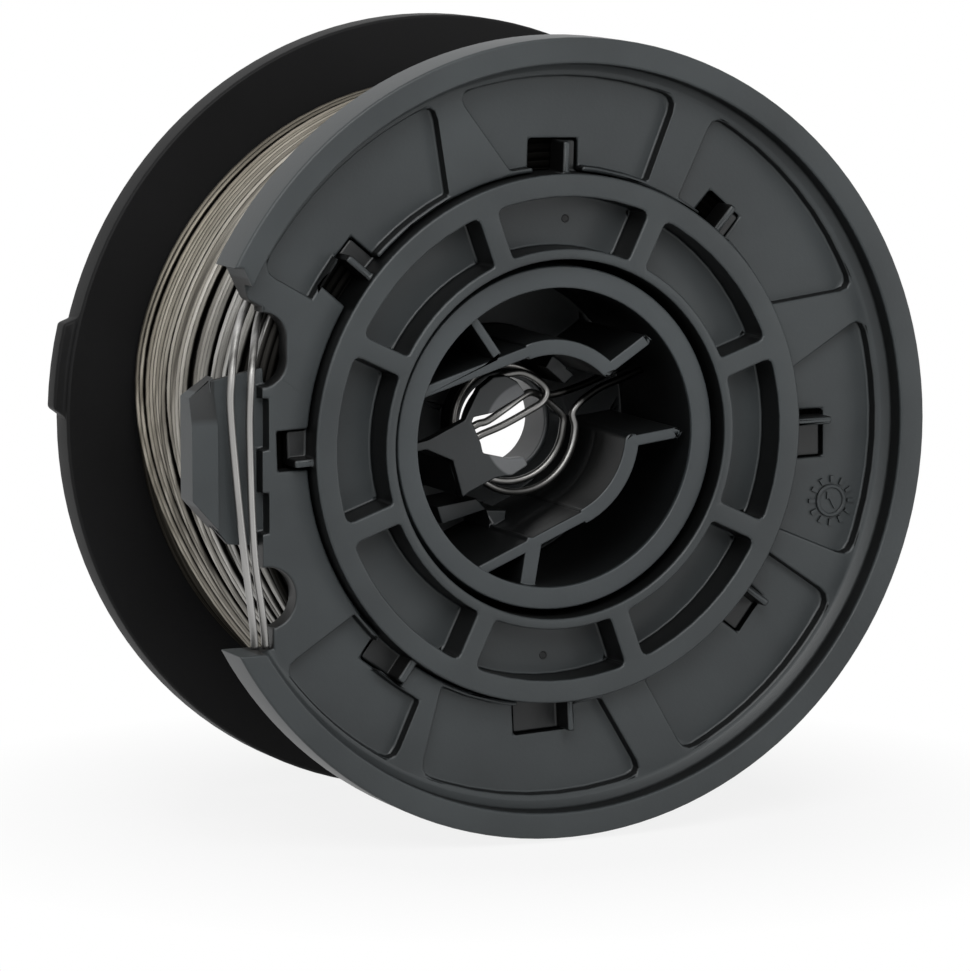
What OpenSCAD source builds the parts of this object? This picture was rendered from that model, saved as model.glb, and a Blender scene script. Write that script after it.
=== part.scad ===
// Twin-wire reel: a moulded front flange, a drum, a hub core and a rear flange, wound with two steel wires.
// The reel's axis is Y. The front faces -Y, +Z is up, and the origin is on the axis at half the width.
// A depth is a distance behind the rim's front face. An angle runs from +X towards +Z, seen from the front.

/* [Reel] */
// Overall width, from the front rim's face to the back of the rear flange
reel_w = 48.3; // [47:0.1:52]
// Gap between a piece and the neighbour it is laid in
fit_gap = 0.2; // [0.1:0.05:0.3]

/* [Front flange] */
// Outer radius of the front flange
front_r = 52.5; // [52:0.1:54]
// Thickness of the front flange at its rim
front_t = 7; // [6.8:0.1:8]
// Radial width of the raised rim
rim_w = 3.4; // [2.8:0.1:4]
// Depth of the flat field inside the rim
field_depth = 4; // [3.6:0.1:4.2]
// Size of the sloped foot between the rim and the field
rim_foot = 1.2; // [0.6:0.1:1.6]
// How far the panels are sunk into the field
panel_sink = 1.7; // [0.8:0.1:1.9]
// Width of the thin edge left between a panel and the drum's hole
panel_edge = 0.7; // [0.4:0.1:1.2]
// Radius of the rounded corners of a panel
panel_round = 2; // [1:0.1:2.6]
// How far the windows round the drum's hole reach beyond the drum
window_reach = 4.35; // [3.8:0.05:5]

/* [Notch] */
// Distance from the axis to the straight edge of the notch
notch_x = 41.2; // [40.8:0.1:41.4]
// Height of the notch's upper corner above the axis
notch_top = 24.5; // [24:0.1:25.5]
// Depth below the axis of the shelf where the wires end
notch_shelf = 25.2; // [25:0.1:26]
// Radius of the upper wire hole
upper_hole_r = 3.4; // [3:0.1:3.6]
// Radius of the lower wire hole
lower_hole_r = 4; // [3.6:0.1:4.2]
// Front depth of the keeper tongue
tongue_depth = 6.1; // [5.4:0.1:6.2]
// Distance from the axis to the tongue's tip
tongue_x = 50.5; // [49.5:0.1:51]
// Width of the thick head at the tongue's tip
tongue_head_w = 3.6; // [2.8:0.1:3.8]
// Thickness of that head
tongue_head_t = 4.2; // [3:0.1:4.5]
// How far the head stands out behind the flange
tongue_head_back = 2; // [1.5:0.1:2.5]
// Slope of the ramp on the head's upper part, in degrees
tongue_ramp = 18; // [10:1:25]
// Depth of the two small slots in the notch's edge
edge_slot = 0.9; // [0.5:0.1:1.2]

/* [Drum] */
// Radius of the surface that the wire is wound on
drum_r = 34.75; // [34.2:0.05:35.2]
// Depth of the drum's front ring
ring_depth = 1.5; // [1:0.1:2]
// Thickness of the drum's outer wall
drum_wall = 3; // [2.4:0.1:3.4]
// Thickness of the drum's inner wall
inner_wall = 1.4; // [1:0.1:2]
// Width of the open groove between the drum and the hub core
hub_groove = 1; // [0.6:0.1:1.4]
// Number of pockets in the ring
pocket_n = 8; // [6:1:10]
// Depth of a pocket, measured from the ring's face
pocket_sink = 5.4; // [4.5:0.1:8]
// Thickness of the webs between the pockets
pocket_web = 2.8; // [2:0.1:3.6]
// Radius of the rounded corners of a pocket
pocket_round = 1; // [0.6:0.1:1.6]
// Thickness of the pockets' floor
pocket_floor = 2; // [1.4:0.1:3]
// Thickness of the rib of a locking lug
lug_rib = 1; // [0.7:0.1:1.2]
// Front depth of a locking lug's rib
lug_depth = 2.6; // [2.2:0.1:3.4]

/* [Hub core] */
// Radius of the hub's bore and of its rear socket
bore_r = 19.7; // [19:0.1:20.2]
// Thickness of the hub core's wall
hub_wall = 2.9; // [2.4:0.1:3.2]
// Depth of the hub core's front lip
lip_depth = 3.5; // [3:0.1:4.2]
// Depth of the cross wall inside the hub
cross_depth = 25; // [24:0.1:27]
// Thickness of the cross wall
cross_t = 2; // [1.6:0.1:3]
// Radius of the hole through the centre boss
boss_bore_r = 6.2; // [6:0.1:6.4]
// Wall thickness of the centre boss
boss_wall = 0.8; // [0.6:0.05:0.9]
// Front depth of the centre boss
boss_depth = 20.6; // [20:0.1:22]
// Radial width of the collar at the hub's rear end
collar_w = 2.4; // [1.6:0.1:3]
// Thickness of that collar
collar_t = 1.5; // [1:0.1:2]
// Front depth of the keyhole ribs
rib_depth = 5; // [4.6:0.1:6]
// Radius of the keyhole's round part, to the middle of the rib
keyhole_r = 11.8; // [11.4:0.1:12.2]
// Rib thickness round the keyhole
keyhole_rib = 2.1; // [1.8:0.1:2.4]
// Rib thickness along the straight arms
arm_rib = 1.5; // [1.2:0.1:1.8]
// Direction in which the keyhole opens
keyhole_turn = 20; // [15:1:25]

/* [Rear flange] */
// Outer radius of the rear flange
rear_r = 53; // [52:0.1:54]
// Thickness of the rear flange
rear_t = 4.5; // [4:0.1:5.5]
// Depth of the sunk field on its back
rear_sink = 2; // [1:0.1:2.6]
// Radial width of the rim on its back
rear_rim_w = 3.4; // [2.4:0.1:5]
// Number of stiffening ribs on its back
rear_rib_n = 8; // [6:1:12]
// Thickness of a stiffening rib
rear_rib_t = 1.6; // [1.2:0.1:2.4]
// How far the small tab stands out of the rear rim
tab_out = 1.6; // [1:0.1:2.2]

/* [Wire] */
// Diameter of each wire
wire_d = 1; // [0.9:0.05:1.1]
// Thickness of the wound wire on the drum at the front
pack_t = 8.85; // [7.5:0.05:9.5]
// How much fuller the wound wire is at the rear
pack_swell = 0.9; // [0:0.1:1.2]
// Turns of each wire in the outer layer
turns = 10; // [8:1:12]
// Distance between the two wires of a pair
pair_step = 1.25; // [1.2:0.05:1.4]
// Clearance between the outer layer and what it lies beside
layer_gap = 0.3; // [0.2:0.05:0.4]

/* [Hidden] */
$fn = 96;
cut = 1;
front_grey = [0.16, 0.18, 0.19];
rear_black = [0.05, 0.05, 0.055];
wire_grey = [0.66, 0.64, 0.6];

// Front flange
window_r = drum_r + window_reach;
field_r = front_r - rim_w;
hole_r = drum_r + fit_gap;
panel_in = hole_r + panel_edge;
foot_r = field_r - rim_foot;
panel_out = foot_r - 0.6;
panel_step = window_r + 0.4;
short_window = -0.9;
// Each panel: its side angles at the outer edge, then the arcs of its inner edge with their radii
PANELS = [
    [111, 150, [[150, 141, panel_step], [141, 115, panel_in]]],
    [68, 107, [[100, 68, panel_in]]],
    [22, 61, [[60, 27, panel_in]]],
    [-23, 17, [[12, -23, panel_in]]],
    [-66, -30, [[-28.5, -68, panel_in]]],
    [-114, -74, [[-79, -117, panel_in]]],
    [216, 241, [[240, 229, panel_step + short_window], [229, 217, panel_in]]]
];
// Each window and its lug: angle of the lug's rib, how far the window reaches to either side of it
// (clockwise, then the other way), the front depth of the block beside the rib, how much farther out
// than the others the window ends, and how much shorter than its window the lug is
WINDOWS = [
    [0.5, 5.2, 1.2, 6.2, 1.2, 0],
    [49.2, 2.8, 2.9, 5.6, 0, 0],
    [88.4, 2.9, 4.1, 6.2, 0, 0],
    [140, 2.9, 4.8, 6.2, 0, 0],
    [181.9, 4.2, 1, 5.2, 0, 1.6],
    [233.4, 5.2, 1, 6.2, short_window, 0],
    [272.8, 7, 1, 6.2, 0, 0],
    [322.2, 5, 1, 6.2, 0, 0]
];

// Notch
notch_lead = 4.5;
upper_hole_z = [12.1, 14.9];
lower_hole_x = 40.6;
lower_hole_z = -18.6;
exit_x = 39.8;
tongue_root = [11, -12];
edge_slots = [[0.6, 7.2], [-10.2, -5]];
tongue_side = [10, -11.6];
tongue_tip = [7.6, -5.6];
ramp_z = 3.9;

// Drum
hub_r = bore_r + hub_wall;
drum_bore_r = hub_r + hub_groove;
pocket_in = drum_bore_r + inner_wall;
pocket_out = drum_r - drum_wall;
pocket_turn = -3;
drum_end = reel_w - rear_t;
lug_in = drum_r - drum_wall / 2;
lug_back = front_t - fit_gap;

// Hub core
boss_r = boss_bore_r + boss_wall;
arm_end_r = bore_r + hub_wall / 2;
arm_turn = 87;
neck_turn = 26;
funnel_flare = 13;
funnel_len = 6.4;
strut_upper = [125, 1.3];
strut_lower = [-100, 2.2];
// The bracket in front of the boss that the wires' inner ends are tucked into, as seen from the front
bracket_depth = 12;
bracket_back = 13.6;
foot_a = [-8.2, 1.5];
foot_b = [-6.95, -1.3];
BRACKET = [
    [-20.6, -1.7], [-14.8, -0.6], [-9.3, 1.8], [-8.3, 3.8], [-7.1, 6], [-5.1, 7.4], [-3.3, 7.5],
    [-1.7, 6.6], [-0.5, 5], [-5.3, 2.6], [-7.9, 2.2], foot_a, foot_b, [-6.6, -2.7], [-2.8, -3.6],
    [-0.7, -3.5], [-0.1, -4.6], [-2.3, -5.8], [-4.9, -6.1], [-8.5, -7.7], [-9.6, -8.4], [-11, -3.4],
    [-14.8, -1.7], [-20.6, -2.7]
];
// Posts, a gusset and a hook that stand on the cross wall
POST = [[-11, -3.6], [-9.8, -3.4], [-8.6, -7.6], [-9.6, -8.3]];
BLOCK = [[-11.1, -10.2], [-5.3, -9.4], [-3.9, -10.9], [-10.4, -12.5]];
HOOK = [[-3.9, -11], [-1, -11.2], [-1.4, -14.6], [-3.4, -14.9]];
GUSSET = [[4.7, 7.6], [5.7, 9.3], [9, 6.4], [7.5, 5.2]];
post_depth = 17;

// Wire
wire_r = wire_d / 2;
wind_r = drum_r + pack_t - wire_r;
core_r = wind_r - wire_r - layer_gap;
wind_front = front_t + layer_gap + wire_r;
wind_rear = drum_end - layer_gap - wire_r;
wind_pitch = (wind_rear - wind_front - pair_step) / turns;
loop_rings = 24;
wind_sides = 6;
end_sides = 8;
// Angles at which the wires leave the outer layer for the notch
leave_a = 137;
leave_b = 150;
// Routes of the outer ends across the notch: x, depth and z
OUTER_A = [
    [-37.6, 7.8, 24.2], [-40.4, 7.8, 21], [-42.3, 7.5, 18.4], [-43.7, 6.2, 15.8], [-44.7, 5, 13],
    [-45.3, 4.3, 10], [-45.5, 4.2, 6], [-44.8, 4.2, -2.5], [-43.9, 4.2, -11], [-42.6, 4.4, -21]
];
OUTER_B = [
    [-38.9, 9, 19], [-40, 8.2, 17], [-40.9, 7, 15.2], [-41.7, 5.6, 13.4], [-42.3, 4.7, 11.6],
    [-42.7, 4.2, 9], [-42.9, 4.2, 4.5], [-42.8, 4.2, -2], [-42.6, 4.2, -8], [-42.2, 4.2, -14],
    [-41.2, 4.4, -20.5]
];
// Where they end on the shelf: x and depth
end_a = [-42, 5];
end_b = [-40.5, 5];
// The inner ends: they leave the bracket, cross in front of the boss and wind round, wire a one way
// and wire b the other, until they leave the hub through the keyhole's mouth
CROSS_A = [[-5.6, 12.9, 1.5], [-3, 13.2, 2.9], [0.3, 13.9, 4.6], [1.9, 14.7, 4.6], [3.9, 15.6, 3.6]];
CROSS_B = [[-3.4, 12.9, 0.8], [0.4, 13, 2.5], [2.5, 13.2, 3.6], [3.2, 13.5, 5], [2.2, 13.8, 6.3]];
// Each winding in the hub: angles, depths and radii at its start and end
COIL_A = [[10, -335], [16.6, 21.4], [7, 7.8]];
COIL_B = [[88, 372], [14.3, 16.4], [7.4, 8.7]];
EXIT = [12.5, 16.5];
exit_turn = 20;
foot_share = [0.25, 0.75];

// ---- Helpers ----

function at(depth) = depth - reel_w / 2;
function polar(r, a) = [r * cos(a), r * sin(a)];
function unit(v) = v / norm(v);
function arc(r, a0, a1, n) = [for (i = [0:n]) polar(r, a0 + (a1 - a0) * i / n)];

// A curve that rounds corner b between its neighbours a and c
function rounded(a, b, c, size) =
    let (p = b + unit(a - b) * size, q = b + unit(c - b) * size)
    [for (t = [0:1/3:1.01]) (1 - t) * (1 - t) * p + 2 * t * (1 - t) * b + t * t * q];

// Outline of a sector with rounded corners: outer angles, inner angles, both radii
function sector(o0, o1, i0, i1, r_in, r_out, size, steps = 6) =
    let (
        lead_out = size / r_out * 57.3,
        lead_in = size / r_in * 57.3,
        a = polar(r_out, o0),
        b = polar(r_out, o1),
        c = polar(r_in, i1),
        d = polar(r_in, i0)
    )
    concat(
        rounded(d, a, polar(r_out, o0 + lead_out), size),
        arc(r_out, o0 + 2 * lead_out, o1 - 2 * lead_out, steps),
        rounded(polar(r_out, o1 - lead_out), b, c, size),
        rounded(b, c, polar(r_in, i1 - lead_in), size / 2),
        arc(r_in, i1 - 2 * lead_in, i0 + 2 * lead_in, steps),
        rounded(polar(r_in, i0 + lead_in), d, a, size / 2)
    );

// Outline of a panel: two rounded outer corners and an inner edge made of one or more arcs
function panel(a0, a1, inner) =
    let (
        lead = panel_round / panel_out * 57.3,
        first = inner[0],
        last = inner[len(inner) - 1],
        edge = [for (i = inner) each arc(i[2], i[0], i[1], 6)]
    )
    concat(
        rounded(polar(last[2], last[1]), polar(panel_out, a0), polar(panel_out, a0 + lead), panel_round),
        arc(panel_out, a0 + 2 * lead, a1 - 2 * lead, 6),
        rounded(polar(panel_out, a1 - lead), polar(panel_out, a1), polar(first[2], first[0]), panel_round),
        edge
    );

// An outline drawn as seen from the front, made solid between two depths
module slab(d0, d1) {
    translate([0, at(d1), 0]) rotate([90, 0, 0]) linear_extrude(height = d1 - d0) children();
}

// A round bar along the reel's axis
module rod(r, d0, d1) {
    translate([0, at(d1), 0]) rotate([90, 0, 0]) cylinder(r = r, h = d1 - d0);
}

module tube(r_out, r_in, d0, d1) {
    difference() {
        rod(r_out, d0, d1);
        rod(r_in, d0 - cut, d1 + cut);
    }
}

// A turned form: its outline is drawn as radius and depth
module turned() {
    translate([0, at(0), 0]) rotate([-90, 0, 0]) rotate_extrude() children();
}

// A straight bar of an outline, between two points
module bar(p, q, w) {
    translate(p) rotate(atan2(q[1] - p[1], q[0] - p[0])) translate([0, -w / 2]) square([norm(q - p), w]);
}

// ---- Front flange ----

module notch_outline() {
    polygon([
        [-front_r - cut, notch_top], [-notch_x - 4, notch_top], [-notch_x - 1.8, notch_top - notch_lead],
        [-notch_x, notch_top - notch_lead - 1], [-notch_x, lower_hole_z], [-exit_x, lower_hole_z],
        [-exit_x, -notch_shelf], [-front_r - cut, -notch_shelf]
    ]);
    for (z = upper_hole_z) translate([-notch_x, z]) circle(r = upper_hole_r);
    translate([-notch_x, upper_hole_z[0]]) square([upper_hole_r, upper_hole_z[1] - upper_hole_z[0]]);
    translate([-lower_hole_x, lower_hole_z]) circle(r = lower_hole_r);
}

module windows() {
    for (w = WINDOWS)
        rotate(w[0]) translate([0, -w[1]]) square([window_r + w[4], w[1] + w[2]]);
}

// The tongue in the notch: a thin root that the wires lie across, and a thick head
module keeper_tongue() {
    head_x = tongue_x - tongue_head_w;
    head_back = front_t + tongue_head_back;
    slab(tongue_depth, front_t)
        polygon([
            [-notch_x + 1, tongue_root[0]], [-head_x - 0.5, tongue_side[0] - 0.4],
            [-head_x - 0.5, tongue_side[1] + 2.5], [-notch_x - 4, tongue_side[1]],
            [-notch_x + 1, tongue_root[1]]
        ]);
    difference() {
        slab(head_back - tongue_head_t, head_back)
            polygon([
                [-head_x, tongue_side[0]], [-tongue_x, tongue_tip[0]],
                [-tongue_x, tongue_tip[1]], [-head_x, tongue_side[1] + 2]
            ]);
        translate([-tongue_x - cut, at(head_back - tongue_head_t), ramp_z])
            rotate([-tongue_ramp, 0, 0]) translate([0, -tongue_head_t, 0])
                cube([tongue_head_w + 2 * cut, tongue_head_t, 2 * tongue_side[0]]);
    }
}

module front_flange() {
    color(front_grey) {
        difference() {
            rod(front_r, 0, front_t);
            turned()
                polygon([
                    [0, -cut], [field_r, -cut], [field_r, field_depth - rim_foot],
                    [foot_r, field_depth], [0, field_depth]
                ]);
            rod(hole_r, -cut, front_t + cut);
            for (p = PANELS)
                slab(field_depth - cut, field_depth + panel_sink) polygon(panel(p[0], p[1], p[2]));
            slab(-cut, front_t + cut) windows();
            slab(-cut, front_t + cut) notch_outline();
            for (z = edge_slots)
                slab(-cut, tongue_depth) translate([-notch_x - 1, z[0]]) square([1 + edge_slot, z[1] - z[0]]);
        }
        keeper_tongue();
    }
}

// ---- Drum ----

module pocket_outline() {
    half_out = 180 / pocket_n - asin(pocket_web / 2 / pocket_out);
    half_in = 180 / pocket_n - asin(pocket_web / 2 / pocket_in);
    polygon(sector(-half_out, half_out, -half_in, half_in, pocket_in, pocket_out, pocket_round));
}

// A lug that sits in a window of the front flange and keys the two together
module locking_lug(w) {
    long = window_r + w[4] - w[5] - fit_gap - lug_in;
    slab(lug_depth, lug_back) translate([lug_in, -lug_rib / 2]) square([long, lug_rib]);
    slab(w[3], lug_back) translate([lug_in, -w[1] + fit_gap]) square([long, w[1] - fit_gap]);
}

module drum() {
    color(front_grey) difference() {
        union() {
            rod(drum_r, ring_depth, drum_end);
            for (w = WINDOWS) rotate([0, -w[0], 0]) locking_lug(w);
        }
        rod(drum_bore_r, ring_depth - cut, drum_end + cut);
        for (i = [0:pocket_n - 1])
            slab(ring_depth - cut, ring_depth + pocket_sink)
                rotate(i * 360 / pocket_n + pocket_turn) pocket_outline();
        tube(pocket_out, pocket_in, ring_depth + pocket_sink + pocket_floor, drum_end + cut);
    }
}

// ---- Hub core ----

// Half of the keyhole: an arm from the hub's wall, the round part, and one side of the opening
module keyhole_half() {
    arm_len = sqrt(arm_end_r * arm_end_r - keyhole_r * keyhole_r);
    tangent = polar(keyhole_r, arm_turn);
    neck = polar(keyhole_r, neck_turn);
    bar(tangent, tangent + polar(arm_len, arm_turn + 90), arm_rib);
    polygon(concat(
        arc(keyhole_r + keyhole_rib / 2, neck_turn, arm_turn, 12),
        arc(keyhole_r - keyhole_rib / 2, arm_turn, neck_turn, 12)
    ));
    translate(neck) circle(r = keyhole_rib / 2);
    bar(neck, neck + polar(funnel_len, funnel_flare), arm_rib);
    translate(neck + polar(funnel_len, funnel_flare)) circle(r = arm_rib / 2);
}

module strut(turn, w) {
    bar(polar(keyhole_r + 1.6, turn), polar(arm_end_r, turn), w);
}

module hub_core() {
    color(front_grey) difference() {
        union() {
            tube(hub_r, bore_r, lip_depth, reel_w);
            tube(hub_r + collar_w, bore_r, reel_w - collar_t, reel_w);
            rod(bore_r + hub_wall / 2, cross_depth, cross_depth + cross_t);
            rod(boss_r, boss_depth, cross_depth + cross_t);
            slab(rib_depth, cross_depth + cross_t / 2) rotate(keyhole_turn) {
                keyhole_half();
                mirror([0, 1]) keyhole_half();
            }
            slab(rib_depth, cross_depth + cross_t / 2) {
                strut(strut_upper[0], strut_upper[1]);
                strut(strut_lower[0], strut_lower[1]);
            }
            slab(bracket_depth, bracket_back) polygon(BRACKET);
            slab(bracket_back - 0.5, cross_depth + cross_t / 2) polygon(POST);
            for (p = [BLOCK, HOOK, GUSSET]) slab(post_depth, cross_depth + cross_t / 2) polygon(p);
        }
        rod(boss_bore_r, boss_depth - cut / 2, reel_w + cut);
    }
}

// ---- Rear flange ----

module rear_flange() {
    rim_in = rear_r - rear_rim_w;
    color(rear_black) {
        difference() {
            rod(rear_r, drum_end, reel_w);
            rod(hub_r + fit_gap, drum_end - cut, reel_w + cut);
            rod(hub_r + collar_w + fit_gap, reel_w - collar_t - fit_gap, reel_w + cut);
            tube(rim_in, drum_r, reel_w - rear_sink, reel_w + cut);
        }
        slab(reel_w - rear_sink - 0.5, reel_w - 0.4)
            for (i = [0:rear_rib_n - 1]) rotate(i * 360 / rear_rib_n)
                bar([drum_r - 0.5, 0], [rim_in + 0.5, 0], rear_rib_t);
        slab(drum_end + 0.8, reel_w - 0.8)
            polygon(concat(arc(rear_r + tab_out, 166, 178, 4), arc(rear_r - 1, 180, 164, 4)));
    }
}

// ---- Wire ----

function tangents(p) =
    [for (i = [0:len(p) - 1]) unit(p[min(i + 1, len(p) - 1)] - p[max(i - 1, 0)])];

// A side direction at each point, carried along the route without twist
function sides_of(t) =
    [for (i = 0, n = unit(cross(t[0], [0.31, 0.9, 0.27])); i < len(t);
          i = i + 1, n = i < len(t) ? unit(n - (n * t[i]) * t[i]) : n) n];

// One unbroken tube of triangles along a route
module wire_tube(route, sides) {
    t = tangents(route);
    n = sides_of(t);
    last = len(route) - 1;
    points = [
        for (i = [0:last]) let (b = cross(t[i], n[i])) for (k = [0:sides - 1])
            route[i] + wire_r * (cos(360 * k / sides) * n[i] + sin(360 * k / sides) * b)
    ];
    skin = [
        for (i = [0:last - 1]) for (k = [0:sides - 1])
            let (a = i * sides + k, b = i * sides + (k + 1) % sides)
            each [[a, a + sides, b + sides], [a, b + sides, b]]
    ];
    caps = [
        for (k = [1:sides - 2])
            each [[0, k, k + 1], [last * sides, last * sides + k + 1, last * sides + k]]
    ];
    polyhedron(points = points, faces = concat(skin, caps));
}

// Least gap of a wound route to itself, between points at least half a loop apart
function least_gap(p) =
    min([for (i = [0:len(p) - 1]) for (j = [i + loop_rings / 2:1:len(p) - 1]) norm(p[i] - p[j])]) - wire_d;

// Least gap between two routes
function gap_to(p, q) = min([for (a = p) for (b = q) norm(a - b)]) - wire_d;

// A smooth curve through points chosen by hand
function spline(p, steps) =
    [for (i = [0:len(p) - 2]) let (
            a = p[max(i - 1, 0)], b = p[i], c = p[i + 1], d = p[min(i + 2, len(p) - 1)]
        )
        for (t = [0:1 / steps:0.999])
            0.5 * (2 * b + (c - a) * t + (2 * a - 5 * b + 4 * c - d) * t * t
                + (3 * b - a - 3 * c + d) * t * t * t),
        p[len(p) - 1]];

function helix_point(r, a, depth) = [r * cos(a), at(depth), r * sin(a)];
function along(a) = [-sin(a), 0, cos(a)];

// Radius of the outer layer at a depth: the wound wire is a little fuller at the rear
function layer_r(depth) = wind_r + pack_swell * (depth - wind_front) / (wind_rear - wind_front);

// The outer layer of one wire: up out of the core, round the drum, and off towards the notch
function winding_route(leave, depth) =
    let (
        first = leave - 360 * turns,
        steps = turns * loop_rings,
        rear = depth + wind_pitch * turns,
        r = layer_r(rear)
    )
    concat(
        [for (h = [0.01, wire_r, wire_d]) helix_point(core_r + h, first - 14, rear)],
        [for (s = [[13.2, 0.6], [12.2, 0.75], [9, 0.55], [5, 0.2]])
            helix_point(r + s[1], first - s[0], rear)],
        [for (i = [0:steps]) let (d = rear - wind_pitch * i / loop_rings)
            helix_point(layer_r(d), first + 360 * i / loop_rings, d)],
        [leave_point(leave, depth)]
    );
function leave_point(leave, depth) = helix_point(layer_r(depth), leave, depth) + wire_d * along(leave);

function outer_route(leave, depth, points, last) =
    let (
        start = leave_point(leave, depth),
        seat = [last[0], at(last[1]), -notch_shelf],
        mid = [for (p = points) [p[0], at(p[1]), p[2]]]
    )
    concat(
        [start],
        spline(concat([start + wire_d * along(leave)], mid, [seat + [0, 0, wire_d + 0.05]]), 2),
        [seat + [0, 0, 0.05]]
    );

function inner_route(share, over, coil) =
    let (
        foot = foot_a + share * (foot_b - foot_a),
        edge = unit(foot_a - foot_b),
        out = [edge[1], -edge[0]],
        middle = (bracket_depth + bracket_back) / 2,
        a = coil[0],
        steps = round(abs(a[1] - a[0]) / 360 * loop_rings),
        last = coil[1][1]
    )
    concat(
        [for (s = [0.02, wire_d]) let (p = foot + s * out) [p[0], at(middle), p[1]]],
        spline([for (p = over) [p[0], at(p[1]), p[2]]], 2),
        [for (i = [0:steps]) let (t = i / steps, e = 1 - pow(1 - t, 3))
            helix_point(
                coil[2][0] + (coil[2][1] - coil[2][0]) * e,
                a[0] + (a[1] - a[0]) * t,
                coil[1][0] + (last - coil[1][0]) * t
            )],
        [for (r = EXIT) helix_point(r, exit_turn, last)],
        [for (r = [bore_r - wire_d - 0.05, bore_r - 0.05]) helix_point(r, exit_turn, last)]
    );

module winding_core() {
    color(wire_grey) tube(core_r, hole_r, front_t + fit_gap, drum_end - fit_gap);
}

route_a = winding_route(leave_a, wind_front);
route_b = winding_route(leave_b, wind_front + pair_step);
outer_a = outer_route(leave_a, wind_front, OUTER_A, end_a);
outer_b = outer_route(leave_b, wind_front + pair_step, OUTER_B, end_b);
inner_a = inner_route(foot_share[0], CROSS_A, COIL_A);
inner_b = inner_route(foot_share[1], CROSS_B, COIL_B);
echo(least_gap_winding_a = least_gap(route_a), least_gap_winding_b = least_gap(route_b));
echo(least_gap_inner_a = least_gap(inner_a), least_gap_inner_b = least_gap(inner_b));
echo(gap_between_windings = gap_to(route_a, route_b), gap_between_inner_ends = gap_to(inner_a, inner_b));
echo(gap_between_outer_ends = gap_to(outer_a, outer_b));

module winding_a() { color(wire_grey) wire_tube(route_a, wind_sides); }
module winding_b() { color(wire_grey) wire_tube(route_b, wind_sides); }
module outer_end_a() { color(wire_grey) wire_tube(outer_a, end_sides); }
module outer_end_b() { color(wire_grey) wire_tube(outer_b, end_sides); }
module inner_end_a() { color(wire_grey) wire_tube(inner_a, wind_sides); }
module inner_end_b() { color(wire_grey) wire_tube(inner_b, wind_sides); }

front_flange();
drum();
hub_core();
rear_flange();
winding_core();
winding_a();
winding_b();
outer_end_a();
outer_end_b();
inner_end_a();
inner_end_b();
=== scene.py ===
# %% [markdown]
# # A twin-wire reel
# The reel is a moulded plastic spool that carries a pair of thin steel tie wires, wound side by side.
# Its solids come ready from the CAD model, so this lesson dresses them: edges that catch the light,
# moulded plastic with its grime and wear, and drawn wire laid turn by turn.

# %% Load the solids and keep their size
import math
import random

import bmesh
import bpy
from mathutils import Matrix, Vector


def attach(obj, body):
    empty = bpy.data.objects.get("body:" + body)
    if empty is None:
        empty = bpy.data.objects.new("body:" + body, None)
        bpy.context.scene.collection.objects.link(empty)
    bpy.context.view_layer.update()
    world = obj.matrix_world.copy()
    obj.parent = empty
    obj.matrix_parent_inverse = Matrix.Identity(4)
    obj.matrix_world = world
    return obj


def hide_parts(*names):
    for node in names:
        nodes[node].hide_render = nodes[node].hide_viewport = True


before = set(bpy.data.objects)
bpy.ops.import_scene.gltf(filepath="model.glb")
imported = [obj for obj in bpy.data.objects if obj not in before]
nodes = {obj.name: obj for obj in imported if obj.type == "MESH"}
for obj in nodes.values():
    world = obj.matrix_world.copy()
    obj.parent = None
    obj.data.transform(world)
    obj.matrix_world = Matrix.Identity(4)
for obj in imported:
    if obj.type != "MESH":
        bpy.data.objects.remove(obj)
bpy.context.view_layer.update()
print("solids:", ", ".join(sorted(nodes)))

# %% [markdown]
# The reel's drawing is in millimetres, with depths counted from the face of the front rim. Metres could
# be typed at once, but small helpers keep every number the one on the drawing: they turn such a place
# into metres in the shared frame.

# %% Places in the drawing's own terms
MM = 0.001
REEL_WIDTH = 48.3
FLANGE_RADIUS = 52.5
FLANGE_THICKNESS = 7.0
REAR_RADIUS = 53.0
REAR_THICKNESS = 4.5


def place(x, depth, z):
    """A point of the drawing, in metres: x and z across the reel, depth behind the front rim."""
    return Vector((x, depth - REEL_WIDTH / 2, z)) * MM


def level(depth):
    """Where a depth behind the front rim lies on the shared frame's Y axis, in metres."""
    return place(0, depth, 0).y


def on_circle(radius, angle, depth):
    """A point on a circle round the axis; the angle runs from +X towards +Z, in degrees."""
    a = math.radians(angle)
    return place(radius * math.cos(a), depth, radius * math.sin(a))


print("front rim at y", round(level(0), 5), "and rear rim at y", round(level(REEL_WIDTH), 5))

# %% [markdown]
# A long lens from some way off keeps both rims almost round, as catalogues like it. A short lens close by
# would show the same things with a swollen front rim. The camera stands to the left of the front and a
# little above the reel's axis, and it is turned by its direction, so it needs no constraint.

# %% Camera
IMAGE_HEIGHT = 971
FOCAL_PIXELS = 5932.5
SENSOR_WIDTH = 36
CAMERA_DISTANCE = 15 * FLANGE_RADIUS * MM
AZIMUTH, ELEVATION = math.radians(-24.32), math.radians(7.99)
# The point in the middle of the view, in shares of the flange's radius
AIM_SHARES = (-0.067, 0.35, -0.151)
CLIP_NEAR, CLIP_FAR = 0.01, 20

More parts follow.
